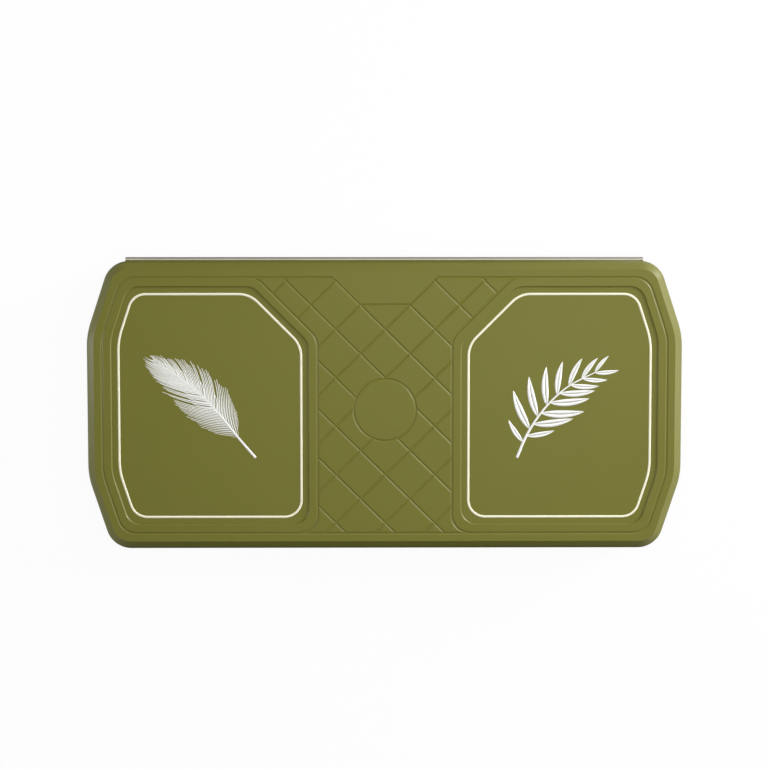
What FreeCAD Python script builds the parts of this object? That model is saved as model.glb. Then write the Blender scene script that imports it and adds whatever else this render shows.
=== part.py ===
import FreeCAD, Part
import math
import os
import re
import Sketcher

# Fly box: two moulded shells that shut on each other, hinged along the back edge.
# It lies on its base with the lid on top. The origin is the middle of the base's underside,
# +X runs along the box, +Y points to the hinge and +Z points up.

# Driving dimensions, in millimetres, degrees and counts
SIZES = {
    # Outline of the case where lid and base meet
    "case_length": 190.0,
    "case_width": 92.4,
    "end_flat": 45.3,
    "corner_run": 7.8,
    "corner_radius": 8.5,
    "end_radius": 24.0,
    # Shells
    "base_height": 13.0,
    "lid_height": 13.0,
    "base_floor": 2.0,
    "lid_roof": 2.4,
    "wall": 2.6,
    "hinge_wall": 4.0,
    "draft_angle": 2.0,
    "bevel_width": 2.6,
    "bevel_search_share": 0.1,
    "shoulder_radius": 3.5,
    "rim_break": 0.25,
    "cavity_bevel": 1.0,
    # Lip of the base that centres the lid
    "lip_height": 1.2,
    "lip_width": 1.1,
    "lip_gap": 0.3,
    # Thumb notch below the lid's front edge
    "thumb_width": 30.0,
    "thumb_depth": 1.2,
    "thumb_height": 4.0,
    # Hinge
    "hinge_offset": 0.1,
    "barrel_radius": 0.9,
    "barrel_gap": 0.3,
    "pin_radius": 0.5,
    "pin_clearance": 0.05,
    "pin_recess": 0.2,
    "pin_middle_gap": 1.2,
    "knuckle_gap": 0.2,
    "knuckle_middle": 37.6,
    "knuckle_inner": 7.7,
    "knuckle_between": 19.6,
    "knuckle_outer": 17.3,
    "hinge_margin": 11.6,
    # Sunk panels of the lid and the groove loops round them
    "loop_margin": 5.6,
    "field_half": 21.3,
    "panel_cut": 19.2,
    "panel_radius": 6.0,
    "panel_tightening_share": 0.35,
    "panel_end_radius": 18.0,
    "recess_margin": 3.0,
    "recess_depth": 0.6,
    "recess_bevel": 0.35,
    # Fine V grooves of the loops and the lattice
    "line_depth": 0.22,
    "line_half": 0.48,
    "loop_foot": 0.1,
    # Diamond lattice between the panels
    "lattice_half": 7.83,
    "lattice_rise": 7.7,
    "lattice_drop": 0.9,
    "lattice_edge": 0.3,
    "badge_radius": 9.85,
    "badge_y": -1.25,
    "badge_gap": 0.3,
    "label_half": 7.8,
    # Magnets that hold the lid shut
    "magnet_end_margin": 21.0,
    "magnet_side_margin": 6.6,
    "magnet_length": 10.0,
    "magnet_width": 5.0,
    "magnet_height": 3.0,
    "magnet_cap_height": 0.6,
    "magnet_clearance": 0.05,
    "post_wall": 1.5,
    "post_root": 0.3,
    # Magnet behind the badge field
    "tool_magnet_radius": 8.0,
    "tool_magnet_height": 2.0,
    "tool_cap_height": 0.8,
    "tool_boss_wall": 1.5,
    # Ribbed mats and the films that hold them
    "film_height": 0.15,
    "film_inset": 1.5,
    "mat_height": 1.5,
    "mat_gap": 1.2,
    "mat_radius": 4.0,
    "notch_gap": 0.5,
    "rib_height": 3.5,
    "rib_width": 4.4,
    "rib_taper": 0.7,
    "rib_slit": 0.5,
    "slit_depth": 2.8,
    "rib_pitch": 8.0,
    "rib_edge": 4.0,
    "base_rib_margin": 15.0,
    "lid_rib_margin": 2.5,
    "lid_mat_inner": 27.0,
    "lid_mat_end_margin": 10.0,
    "lid_mat_side_margin": 11.5,
}

doc = FreeCAD.newDocument("fly_box")
sheet = doc.addObject("Spreadsheet::Sheet", "Sizes")
for row, (size_name, size) in enumerate(SIZES.items(), start=1):
    sheet.set(f"A{row}", size_name)
    sheet.set(f"B{row}", str(size))
    sheet.setAlias(f"B{row}", size_name)
doc.recompute()

# Formulas that several pieces share
CORNER_RISE = "((case_width - end_flat) / 2)"
CORNER_SLANT = f"hypot(corner_run; {CORNER_RISE})"
LID_TOP = "(base_height + lid_height)"
LID_CEILING = "(base_height + lid_height - lid_roof)"
LIP_TOP = "(base_height + lip_height)"
LOOP_Y = "(case_width / 2 - loop_margin)"
LATTICE_TOP = f"({LOOP_Y} - lattice_drop)"
LABEL_Y = f"({LATTICE_TOP} - lattice_rise)"
LINE_TAPER = "atan((line_half - loop_foot / 2) / line_depth)"
AXIS_Y = "(case_width / 2 + hinge_offset)"
HINGE_END = "(case_length / 2 - hinge_margin)"
MAGNET_X = "(case_length / 2 - magnet_end_margin)"
MAGNET_Y = "(magnet_side_margin - case_width / 2)"
MAGNET_POCKET = "(magnet_height + magnet_cap_height)"
TOOL_POCKET = "(tool_magnet_height + tool_cap_height)"
RELIEF_RADIUS = "(barrel_radius + barrel_gap)"
POST_MARGIN = "(magnet_clearance + post_wall)"
BASE_MAT_DEPTH = "(case_width - wall - hinge_wall - 2 * mat_gap)"
BASE_RIB_LENGTH = "(case_length - 2 * base_rib_margin)"
LID_MAT_WIDTH = "(case_length / 2 - lid_mat_end_margin - lid_mat_inner)"
LID_MAT_DEPTH = "(case_width - 2 * lid_mat_side_margin)"
LID_MAT_X = f"(lid_mat_inner + {LID_MAT_WIDTH} / 2)"
LID_RIB_LENGTH = f"({LID_MAT_WIDTH} - 2 * lid_rib_margin)"
TOLERANCE = 1e-4
UP = FreeCAD.Vector(0, 0, 1)


def bound(formula):
    """The formula with each size's name pointing at its cell."""
    return re.sub(r"[a-z_]+", lambda word: f"Sizes.{word[0]}" if word[0] in SIZES else word[0], formula)


def value(formula):
    """The formula's present value."""
    return float(sheet.evalExpression(bound(formula)))


def negative(formula):
    return f"-({formula})"


# Sketches

def new_body(name):
    return doc.addObject("PartDesign::Body", name)


def new_sketch(body, name, plane, offset):
    """Sketch on one of the body's own planes, moved along its normal by a formula."""
    sketch = body.newObject("Sketcher::SketchObject", name)
    support = next(item for item in body.Origin.OriginFeatures if item.Role == plane)
    sketch.AttachmentSupport = [(support, "")]
    sketch.MapMode = "FlatFace"
    sketch.setExpression("AttachmentOffset.Base.z", bound(offset))
    return sketch


def constrain(sketch, items):
    """Add constraints in one go, each with the formula that its value is bound to, or None."""
    first = sketch.ConstraintCount
    sketch.addConstraint([constraint for constraint, formula in items])
    for index, (constraint, formula) in enumerate(items, start=first):
        if formula:
            sketch.setExpression(f"Constraints[{index}]", bound(formula))


def point_items(geometry, point, x, y):
    """A point's two distances from the sketch's origin."""
    return [
        (Sketcher.Constraint("DistanceX", -1, 1, geometry, point, value(x)), x),
        (Sketcher.Constraint("DistanceY", -1, 1, geometry, point, value(y)), y),
    ]


def radius_item(geometry, radius):
    return Sketcher.Constraint("Radius", geometry, value(radius)), radius


def draw_polygon(sketch, corners):
    points = [FreeCAD.Vector(value(x), value(y), 0) for x, y in corners]
    sides = [sketch.addGeometry(Part.LineSegment(*ends), False) for ends in zip(points, points[1:] + points[:1])]
    items = []
    for side, following, (x, y) in zip(sides, sides[1:] + sides[:1], corners):
        items.append((Sketcher.Constraint("Coincident", side, 2, following, 1), None))
        items.extend(point_items(side, 1, x, y))
    constrain(sketch, items)


def draw_circle(sketch, x, y, radius):
    centre = FreeCAD.Vector(value(x), value(y), 0)
    circle = sketch.addGeometry(Part.Circle(centre, UP, value(radius)), False)
    constrain(sketch, point_items(circle, 3, x, y) + [radius_item(circle, radius)])


def corner_arc(before, corner, after, radius):
    """Arc that rounds the corner of an anticlockwise outline."""
    to_before = (before - corner).normalize()
    to_after = (after - corner).normalize()
    half_angle = to_before.getAngle(to_after) / 2
    reach = radius / math.tan(half_angle)
    centre = corner + (to_before + to_after).normalize() * (radius / math.sin(half_angle))
    spokes = [corner + direction * reach - centre for direction in (to_before, to_after)]
    angles = [math.atan2(spoke.y, spoke.x) for spoke in spokes]
    return Part.ArcOfCircle(Part.Circle(centre, UP, radius), *angles)


def draw_rounded(sketch, corners, radii):
    """Anticlockwise outline of lines through bound corner points, with a tangent arc at each corner."""
    count = len(corners)
    points = [FreeCAD.Vector(value(x), value(y), 0) for x, y in corners]
    shapes = [corner_arc(points[i - 1], points[i], points[(i + 1) % count], value(radii[i])) for i in range(count)]
    arcs = [sketch.addGeometry(shape, False) for shape in shapes]
    sides = []
    marks = []
    for i in range(count):
        side = Part.LineSegment(shapes[i - 1].EndPoint, shapes[i].StartPoint)
        sides.append(sketch.addGeometry(side, False))
        marks.append(sketch.addGeometry(Part.Point(points[i]), True))
    items = []
    for i, (x, y) in enumerate(corners):
        items.extend(point_items(marks[i], 1, x, y))
        items.append(radius_item(arcs[i], radii[i]))
        items.append((Sketcher.Constraint("Tangent", sides[i], 2, arcs[i], 1), None))
        items.append((Sketcher.Constraint("Tangent", arcs[i], 2, sides[(i + 1) % count], 1), None))
        items.append((Sketcher.Constraint("PointOnObject", marks[i - 1], 1, sides[i]), None))
        items.append((Sketcher.Constraint("PointOnObject", marks[i], 1, sides[i]), None))
    constrain(sketch, items)


def polygon_sketch(body, name, offset, *outlines):
    """Sketch of one or more outlines of straight sides."""
    sketch = new_sketch(body, name, "XY_Plane", offset)
    for corners in outlines:
        draw_polygon(sketch, corners)
    return sketch


def rounded_sketch(body, name, offset, *outlines):
    """Sketch of one or more rounded outlines, each a pair of corners and radii."""
    sketch = new_sketch(body, name, "XY_Plane", offset)
    for corners, radii in outlines:
        draw_rounded(sketch, corners, radii)
    return sketch


def circle_sketch(body, name, offset, circles, plane="XY_Plane"):
    sketch = new_sketch(body, name, plane, offset)
    for x, y, radius in circles:
        draw_circle(sketch, x, y, radius)
    return sketch


# Features

def pad(body, name, sketch, length, reverse=False, taper="0"):
    feature = body.newObject("PartDesign::Pad", name)
    feature.Profile = sketch
    feature.Reversed = reverse
    feature.setExpression("Length", bound(length))
    feature.setExpression("TaperAngle", bound(taper))
    doc.recompute()
    return feature


def pocket(body, name, sketch, depth, reverse=False, taper="0"):
    """Cut the sketch into the body, and make sure that the cut left new faces."""
    before = len(body.Shape.Faces)
    feature = body.newObject("PartDesign::Pocket", name)
    feature.Profile = sketch
    feature.Reversed = reverse
    feature.setExpression("Length", bound(depth))
    feature.setExpression("TaperAngle", bound(taper))
    doc.recompute()
    if len(feature.Shape.Faces) <= before:
        raise RuntimeError(f"{name} cut nothing")
    return feature


def dress(body, kind, name, edges, size_property, size_formula):
    """Fillet or Chamfer on named edges of the body's last feature."""
    feature = body.newObject(f"PartDesign::{kind}", name)
    feature.Base = (body.Tip if body.Tip != feature else feature.BaseFeature, edges)
    feature.setExpression(size_property, bound(size_formula))
    doc.recompute()
    return feature


def fillet(body, name, edges, radius):
    return dress(body, "Fillet", name, edges, "Radius", radius)


def chamfer(body, name, edges, size):
    return dress(body, "Chamfer", name, edges, "Size", size)


def level_edges(body, low, high):
    """Names of the body's edges that lie wholly between two heights."""
    names = []
    for number, edge in enumerate(body.Shape.Edges, start=1):
        box = edge.BoundBox
        if box.ZMin > value(low) - TOLERANCE and box.ZMax < value(high) + TOLERANCE:
            names.append(f"Edge{number}")
    return names


def edges_on(body, sketch):
    """Names of the body's edges that lie on the sketch's lines."""
    names = []
    for number, edge in enumerate(body.Shape.Edges, start=1):
        middle = edge.valueAt((edge.FirstParameter + edge.LastParameter) / 2)
        if sketch.Shape.distToShape(Part.Vertex(middle))[0] < TOLERANCE:
            names.append(f"Edge{number}")
    return names


# Outlines

def octagon(inset, back_inset=None):
    """Corners of the case outline moved inwards, anticlockwise from the right end's back."""
    back_inset = back_inset or inset
    end_x = f"(case_length / 2 - ({inset}))"
    end_y = f"(end_flat / 2 - ({inset}) * ({CORNER_SLANT} - {CORNER_RISE}) / corner_run)"

    def long_side(side_inset):
        shift = f"(corner_run * ({side_inset}) - ({inset}) * {CORNER_SLANT}) / {CORNER_RISE}"
        return f"(case_length / 2 - corner_run + {shift})", f"(case_width / 2 - ({side_inset}))"

    back_x, back_y = long_side(back_inset)
    front_x, front_y = long_side(inset)
    return [
        (end_x, end_y),
        (back_x, back_y),
        (negative(back_x), back_y),
        (negative(end_x), end_y),
        (negative(end_x), negative(end_y)),
        (negative(front_x), negative(front_y)),
        (front_x, negative(front_y)),
        (end_x, negative(end_y)),
    ]


def rounded_octagon(inset, back_inset=None):
    """The inset outline with the case's own corner rounds."""
    end = f"(end_radius - {inset})"
    side = f"(corner_radius - {inset})"
    return octagon(inset, back_inset), [end, side, side, end, end, side, side, end]


def panel(inset, side):
    """Rounded outline of the right (side 1) or left (side -1) panel, moved inwards from its groove loop."""
    outer = octagon(f"(loop_margin + {inset})")
    cut = f"(panel_cut - ({inset}) * (2 - sqrt(2)))"
    inner_x = f"(field_half + {inset})"
    top_y = outer[1][1]
    corners = [
        outer[7],
        outer[0],
        outer[1],
        (f"({inner_x} + {cut})", top_y),
        (inner_x, f"({top_y} - {cut})"),
        (inner_x, negative(top_y)),
        outer[6],
    ]
    end = f"(panel_end_radius - {inset})"
    radius = f"(panel_radius - ({inset}) * panel_tightening_share)"
    radii = [end, end] + [radius] * 5
    if side > 0:
        return corners, radii
    return [(negative(x), y) for x, y in reversed(corners)], radii[::-1]


def lattice_field():
    """Corners of the field between the two groove loops, round the bare label field at its top."""
    inner_x = "(field_half - lattice_edge)"
    side_y = "(case_width / 2 - loop_margin - lattice_edge)"
    cut = "(panel_cut - lattice_edge * (2 - sqrt(2)))"
    label_y = f"({LABEL_Y} + lattice_edge)"
    label_x = "(label_half + lattice_edge * (1 - sqrt(2)))"
    right = [
        (inner_x, negative(side_y)),
        (inner_x, f"({side_y} - {cut})"),
        (f"({inner_x} + {cut})", side_y),
        (f"({label_x} + {side_y} - {label_y})", side_y),
        (label_x, label_y),
    ]
    return right + [(negative(x), y) for x, y in reversed(right)]


# Hinge

def knuckle_spans():
    """Start and end along X of each shell's knuckles: base on the middle and the ends, lid between."""
    stops = ["knuckle_middle / 2"]
    for length in ("knuckle_inner", "knuckle_between", "knuckle_outer"):
        stops.append(f"{stops[-1]} + {length}")
    stops.append(HINGE_END)
    base = [(negative(stops[0]), stops[0])]
    lid = []
    for step, owner in enumerate((lid, base, lid, base)):
        owner.append((stops[step], stops[step + 1]))
        owner.append((negative(stops[step + 1]), negative(stops[step])))
    return base, lid


BASE_KNUCKLES, LID_KNUCKLES = knuckle_spans()


def hinge_rod(body, name, start, radius):
    """Sketch of a circle round the hinge axis, at the given place along X."""
    return circle_sketch(body, name, start, [(AXIS_Y, "base_height", radius)], plane="YZ_Plane")


def add_hinge(body, own, other, bore):
    """Reliefs for the other shell's knuckles, then the shell's own knuckles, then the pin's bore."""
    for number, (start, end) in enumerate(other):
        rod = hinge_rod(body, f"{body.Name}_relief_sketch_{number}", f"{start} - knuckle_gap", RELIEF_RADIUS)
        length = f"{end} - ({start}) + 2 * knuckle_gap"
        pocket(body, f"{body.Name}_relief_{number}", rod, length, reverse=True)
    for number, (start, end) in enumerate(own):
        rod = hinge_rod(body, f"{body.Name}_knuckle_sketch_{number}", start, "barrel_radius")
        pad(body, f"{body.Name}_knuckle_{number}", rod, f"{end} - ({start})")
    rod = hinge_rod(body, f"{body.Name}_bore_sketch", negative(HINGE_END), bore)
    pocket(body, f"{body.Name}_bore", rod, f"2 * ({HINGE_END})", reverse=True)


# Shells

def shell_block(name, length, upwards):
    """Outside of a shell: a rounded octagon with drafted sides, a bevelled face and a broken rim."""
    body = new_body(name)
    sketch = rounded_sketch(body, f"{name}_outline", "base_height", rounded_octagon("0"))
    block = pad(body, f"{name}_block", sketch, length, reverse=not upwards)
    draft_sides(body, block, upwards)
    chamfer(body, f"{name}_rim_break", level_edges(body, "base_height", "base_height"), "rim_break")
    face = LID_TOP if upwards else "0"
    chamfer(body, f"{name}_bevel", level_edges(body, face, face), "bevel_width")
    middle = "base_height / 2" if not upwards else "base_height + lid_height / 2"
    near, far = sorted((middle, f"{face} + ({middle} - {face}) * bevel_search_share"), key=value)
    fillet(body, f"{name}_shoulder", level_edges(body, near, far), "shoulder_radius")
    return body


def draft_sides(body, block, upwards):
    """Leans all side faces inwards, away from the rim."""
    faces = {f"Face{number}": face for number, face in enumerate(block.Shape.Faces, start=1)}
    sides = [name for name, face in faces.items() if face.BoundBox.ZLength > TOLERANCE]
    rim = next(name for name, face in faces.items()
               if face.BoundBox.ZLength < TOLERANCE and abs(face.CenterOfMass.z - value("base_height")) < TOLERANCE)
    feature = body.newObject("PartDesign::Draft", f"{body.Name}_draft")
    feature.Base = (block, sides)
    feature.NeutralPlane = (block, [rim])
    feature.Reversed = not upwards
    feature.setExpression("Angle", bound("draft_angle"))
    doc.recompute()


def hollow(body, mouth, depth, upwards):
    """The shell's inside, cut from its mouth, with a sloped edge along its floor."""
    sketch = rounded_sketch(body, f"{body.Name}_cavity_sketch", mouth, rounded_octagon("wall", "hinge_wall"))
    pocket(body, f"{body.Name}_cavity", sketch, depth, reverse=upwards)
    floor = LID_CEILING if upwards else "base_floor"
    chamfer(body, f"{body.Name}_cavity_floor", level_edges(body, floor, floor), "cavity_bevel")


def magnet_rectangles(margin, front_y=None):
    """Rectangles round the two magnets, out to a margin or, at the front, to a given place."""
    x = f"(magnet_length / 2 + {margin})"
    y = f"(magnet_width / 2 + {margin})"
    front_y = front_y or f"({MAGNET_Y} - {y})"
    rectangles = []
    for middle in (MAGNET_X, negative(MAGNET_X)):
        right, left = f"({middle} + {x})", f"({middle} - {x})"
        back_y = f"({MAGNET_Y} + {y})"
        rectangles.append([(right, front_y), (right, back_y), (left, back_y), (left, front_y)])
    return rectangles


def add_magnet_posts(body, depth, upwards):
    """Two posts from the floor to the rim, rooted in the front wall."""
    posts = magnet_rectangles(POST_MARGIN, "(wall - post_root - case_width / 2)")
    sketch = polygon_sketch(body, f"{body.Name}_post_sketch", "base_height", *posts)
    pad(body, f"{body.Name}_posts", sketch, depth, reverse=not upwards)


def sink_magnets(body, upwards):
    """The magnets' pockets in the two posts."""
    sketch = polygon_sketch(body, f"{body.Name}_magnet_sketch", "base_height", *magnet_rectangles("magnet_clearance"))
    pocket(body, f"{body.Name}_magnet_pockets", sketch, MAGNET_POCKET, reverse=upwards)


def add_lip(body):
    """Low wall on the rim that centres the lid, still solid inside."""
    outline = rounded_octagon("(wall - lip_width)", "(hinge_wall - lip_width)")
    pad(body, "lip", rounded_sketch(body, "lip_sketch", "base_height", outline), "lip_height")


def make_base():
    body = shell_block("base_shell", "base_height", upwards=False)
    add_lip(body)
    hollow(body, LIP_TOP, f"{LIP_TOP} - base_floor", upwards=False)
    add_magnet_posts(body, "base_height - base_floor", upwards=False)
    sink_magnets(body, upwards=False)

    thumb_radius = "((thumb_width ^ 2 / 4 + thumb_depth ^ 2) / (2 * thumb_depth))"
    thumb = [("0", f"-(case_width / 2 - thumb_depth + {thumb_radius})", thumb_radius)]
    sketch = circle_sketch(body, "thumb_sketch", "base_height", thumb)
    pocket(body, "thumb_notch", sketch, "thumb_height")

    add_hinge(body, BASE_KNUCKLES, LID_KNUCKLES, "pin_radius")
    return body


def sink_panels(body):
    """The groove loops and the sunk panels inside them, with sloped walls."""
    for name, side in (("right", 1), ("left", -1)):
        loop = rounded_sketch(body, f"loop_sketch_{name}", LID_TOP, panel("(-line_half)", side))
        pocket(body, f"loop_{name}", loop, "line_depth", taper=f"-{LINE_TAPER}")
        island = panel("(loop_foot / 2)", side)
        foot = rounded_sketch(body, f"island_sketch_{name}", f"{LID_TOP} - line_depth", island)
        pad(body, f"island_{name}", foot, "line_depth", taper=f"-{LINE_TAPER}")
        recess = rounded_sketch(body, f"recess_sketch_{name}", LID_TOP, panel("recess_margin", side))
        pocket(body, f"recess_{name}", recess, "recess_depth")
        chamfer(body, f"recess_slope_{name}", edges_on(body, recess), "recess_bevel")


def make_lid_moulding():
    depth = "lid_height - lid_roof"
    body = shell_block("lid_moulding", "lid_height", upwards=True)
    hollow(body, "base_height", depth, upwards=True)
    add_magnet_posts(body, depth, upwards=True)

    outer = rounded_octagon("(wall - lip_width - lip_gap)", "(hinge_wall - lip_width - lip_gap)")
    inner = rounded_octagon("(wall + lip_gap)", "(hinge_wall + lip_gap)")
    sketch = rounded_sketch(body, "rebate_sketch", "base_height", outer, inner)
    pocket(body, "rebate", sketch, "lip_height + lip_gap", reverse=True)
    sink_magnets(body, upwards=True)

    pocket_radius = "(tool_magnet_radius + magnet_clearance)"
    ring = [("0", "badge_y", pocket_radius), ("0", "badge_y", f"{pocket_radius} + tool_boss_wall")]
    sketch = circle_sketch(body, "tool_boss_sketch", LID_CEILING, ring)
    pad(body, "tool_boss", sketch, TOOL_POCKET, reverse=True)

    add_hinge(body, LID_KNUCKLES, BASE_KNUCKLES, "pin_radius + pin_clearance")
    sink_panels(body)
    return body


# Fine grooves in the lid's face

def place(item, x, y, z):
    for axis, formula in zip("xyz", (x, y, z)):
        item.setExpression(f"Placement.Base.{axis}", bound(formula))


def groove_bar(name, x, y, length, turn):
    """Three-sided bar on edge, from a start point in the plan, that cuts a V groove into the lid's face."""
    bar = doc.addObject("Part::Wedge", name)
    corners = {
        "Xmin": "0", "Xmax": length, "X2min": "0", "X2max": length,
        "Ymin": "-2 * line_depth", "Ymax": "0",
        "Zmin": "-2 * line_half", "Zmax": "2 * line_half", "Z2min": "0", "Z2max": "0",
    }
    for corner, formula in corners.items():
        bar.setExpression(corner, bound(formula))
    on_edge = FreeCAD.Rotation(FreeCAD.Vector(1, 0, 0), -90)
    bar.Placement = FreeCAD.Placement(FreeCAD.Vector(), FreeCAD.Rotation(UP, turn).multiply(on_edge))
    place(bar, x, y, f"{LID_TOP} - line_depth")
    return bar


def make_lattice():
    """Two sets of parallel grooves that cross, kept to the lattice field and off the round badge field."""
    length = "(2 * case_width)"
    step = "hypot(lattice_half; lattice_rise)"
    run = f"({length} / 2 * lattice_half / {step})"
    rise = f"({length} / 2 * lattice_rise / {step})"
    turn = math.degrees(math.atan2(value("lattice_rise"), value("lattice_half")))
    slope = "lattice_rise / lattice_half"
    highest = value(f"ceil((lattice_drop + (field_half + panel_cut) * {slope}) / (2 * lattice_rise))")
    lowest = value(f"ceil(({LATTICE_TOP} + {LOOP_Y} + field_half * {slope}) / (2 * lattice_rise))")
    bars = []
    for number, row in enumerate(range(-int(highest), int(lowest))):
        middle_y = f"({LATTICE_TOP} - 2 * lattice_rise * ({row}))"
        bars.append(groove_bar(f"falling_{number}", negative(run), f"{middle_y} + {rise}", length, -turn))
        bars.append(groove_bar(f"rising_{number}", negative(run), f"{middle_y} - {rise}", length, turn))
    lines = doc.addObject("Part::MultiFuse", "lattice_lines")
    lines.Shapes = bars

    field = new_body("lattice_field")
    sketch = polygon_sketch(field, "field_sketch", f"{LID_TOP} - 2 * line_depth", lattice_field())
    pad(field, "field", sketch, "4 * line_depth")
    badge = [("0", "badge_y", "badge_radius + badge_gap")]
    sketch = circle_sketch(field, "badge_sketch", f"{LID_TOP} - 2 * line_depth", badge)
    pocket(field, "badge_hole", sketch, "4 * line_depth", reverse=True)

    lattice = doc.addObject("Part::Common", "lattice")
    lattice.Base = lines
    lattice.Tool = field
    return lattice


def make_border_lines():
    """Grooves that close the lattice field between the panels' loops and under the label field."""
    corner = "(field_half + panel_radius)"
    top_start = f"(label_half + {LOOP_Y} - {LABEL_Y})"
    top_length = f"(field_half + panel_cut + panel_radius / 2 - {top_start})"
    return [
        groove_bar("front_line", negative(corner), negative(LOOP_Y), f"2 * {corner}", 0),
        groove_bar("back_line_right", top_start, LOOP_Y, top_length, 0),
        groove_bar("back_line_left", f"-{top_start} - {top_length}", LOOP_Y, top_length, 0),
        groove_bar("label_line", "-label_half", LABEL_Y, "2 * label_half", 0),
    ]


def make_badge_ring():
    """Ring of V section that cuts the groove round the badge field."""
    ring = new_body("badge_ring")
    sketch = new_sketch(ring, "badge_ring_sketch", "XZ_Plane", "0")
    upper = f"({LID_TOP} + line_depth)"
    draw_polygon(sketch, [
        ("badge_radius", f"({LID_TOP} - line_depth)"),
        ("(badge_radius + 2 * line_half)", upper),
        ("(badge_radius - 2 * line_half)", upper),
    ])
    turned = ring.newObject("PartDesign::Revolution", "badge_ring_turned")
    turned.Profile = sketch
    turned.ReferenceAxis = (sketch, ["V_Axis"])
    place(ring, "0", "badge_y", "0")
    doc.recompute()
    return ring


def make_lid():
    grooves = doc.addObject("Part::MultiFuse", "lid_grooves")
    grooves.Shapes = [make_lattice(), make_badge_ring()] + make_border_lines()
    lid = doc.addObject("Part::Cut", "lid_shell")
    lid.Base = make_lid_moulding()
    lid.Tool = grooves
    return lid


# Pins, magnets and caps

def make_disc(name, radius, height, x, y, z):
    disc = doc.addObject("Part::Cylinder", name)
    disc.setExpression("Radius", bound(radius))
    disc.setExpression("Height", bound(height))
    place(disc, x, y, z)
    return disc


def make_hinge_pins():
    """One pin from each end of the barrel to near its middle."""
    outer_end = f"({HINGE_END} - pin_recess)"
    length = f"({outer_end} - pin_middle_gap)"
    pins = []
    for name, start in (("right", "pin_middle_gap"), ("left", negative(outer_end))):
        pin = make_disc(f"hinge_pin_{name}", "pin_radius", length, start, AXIS_Y, "base_height")
        pin.Placement = FreeCAD.Placement(pin.Placement.Base, FreeCAD.Rotation(FreeCAD.Vector(0, 1, 0), 90))
        pins.append(pin)
    return pins


def make_magnets():
    """Block magnets and caps of the two posts in each shell: the caps are flush with the rims."""
    heights = {
        "base_magnet": (f"base_height - {MAGNET_POCKET}", "magnet_height"),
        "base_magnet_cap": ("base_height - magnet_cap_height", "magnet_cap_height"),
        "lid_magnet": ("base_height + magnet_cap_height", "magnet_height"),
        "lid_magnet_cap": ("base_height", "magnet_cap_height"),
    }
    blocks = []
    for name, (z, height) in heights.items():
        for side, x in (("right", MAGNET_X), ("left", negative(MAGNET_X))):
            block = doc.addObject("Part::Box", f"{name}_{side}")
            for edge, size in (("Length", "magnet_length"), ("Width", "magnet_width"), ("Height", height)):
                block.setExpression(edge, bound(size))
            place(block, f"{x} - magnet_length / 2", f"{MAGNET_Y} - magnet_width / 2", z)
            blocks.append(block)
    return blocks


def make_tool_magnet():
    magnet_z = f"{LID_CEILING} - tool_magnet_height"
    cap_z = f"{LID_CEILING} - {TOOL_POCKET}"
    return [
        make_disc("tool_magnet", "tool_magnet_radius", "tool_magnet_height", "0", "badge_y", magnet_z),
        make_disc("tool_magnet_cap", "tool_magnet_radius", "tool_cap_height", "0", "badge_y", cap_z),
    ]


# Mats and films, modelled lying on their backs at the origin

def notch(body, margin, height):
    """Notches in the front edge where the magnets' posts stand."""
    posts = magnet_rectangles(margin, "(-case_width / 2)")
    sketch = polygon_sketch(body, f"{body.Name}_notch_sketch", "0", *posts)
    pocket(body, f"{body.Name}_notches", sketch, height, reverse=True)


def make_film(name, corners):
    """Adhesive film with plain corners."""
    body = new_body(name)
    pad(body, f"{name}_sheet", polygon_sketch(body, f"{name}_outline", "0", corners), "film_height")
    return body


def make_mat(name, outline, middle, depth, length):
    """Mat of a rounded outline with its ribs."""
    body = new_body(name)
    pad(body, f"{name}_sheet", rounded_sketch(body, f"{name}_outline", "0", outline), "mat_height")
    add_ribs(body, middle, depth, length)
    return body


def add_ribs(body, middle, depth, length):
    """As many rows of ribs as the mat's depth takes, each with a slit along its top."""
    count = f"(floor(({depth} - rib_width - 2 * rib_edge) / rib_pitch) + 1)"
    low = "mat_height"
    high = "(mat_height + rib_height)"
    first = f"({middle} - ({count} - 1) / 2 * rib_pitch)"
    slit = "(rib_slit / 2)"
    right = [
        ("(rib_width / 2)", low),
        ("(rib_width / 2 - rib_taper)", high),
        (slit, high),
        (slit, f"({high} - slit_depth)"),
    ]
    profile = right + [(negative(y), z) for y, z in reversed(right)]
    sketch = new_sketch(body, f"{body.Name}_rib_sketch", "YZ_Plane", f"-{length} / 2")
    draw_polygon(sketch, [(f"{first} + {y}", z) for y, z in profile])
    rib = pad(body, f"{body.Name}_rib", sketch, length)
    rows = body.newObject("PartDesign::LinearPattern", f"{body.Name}_ribs")
    rows.Originals = [rib]
    rows.Direction = (sketch, ["H_Axis"])
    rows.setExpression("Length", bound(f"({count} - 1) * rib_pitch"))
    rows.setExpression("Occurrences", bound(count))
    body.Tip = rows
    doc.recompute()


def make_base_mat():
    """The mat that fills the base's floor, and its film."""
    corners = octagon("(wall + mat_gap + film_inset)", "(hinge_wall + mat_gap + film_inset)")
    film = make_film("base_mat_film", corners)
    notch(film, f"({POST_MARGIN} + notch_gap + film_inset)", "film_height")
    place(film, "0", "0", "base_floor")

    outline = rounded_octagon("(wall + mat_gap)", "(hinge_wall + mat_gap)")
    middle = "(wall - hinge_wall) / 2"
    mat = make_mat("base_mat", outline, middle, BASE_MAT_DEPTH, BASE_RIB_LENGTH)
    notch(mat, f"({POST_MARGIN} + notch_gap)", "mat_height + rib_height")
    place(mat, "0", "0", "base_floor + film_height")
    return [film, mat]


def lid_rectangle(inset):
    """Corners of a lid mat, moved inwards."""
    x = f"({LID_MAT_WIDTH} / 2 - {inset})"
    y = f"({LID_MAT_DEPTH} / 2 - {inset})"
    return [(x, negative(y)), (x, y), (negative(x), y), (negative(x), negative(y))]


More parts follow.
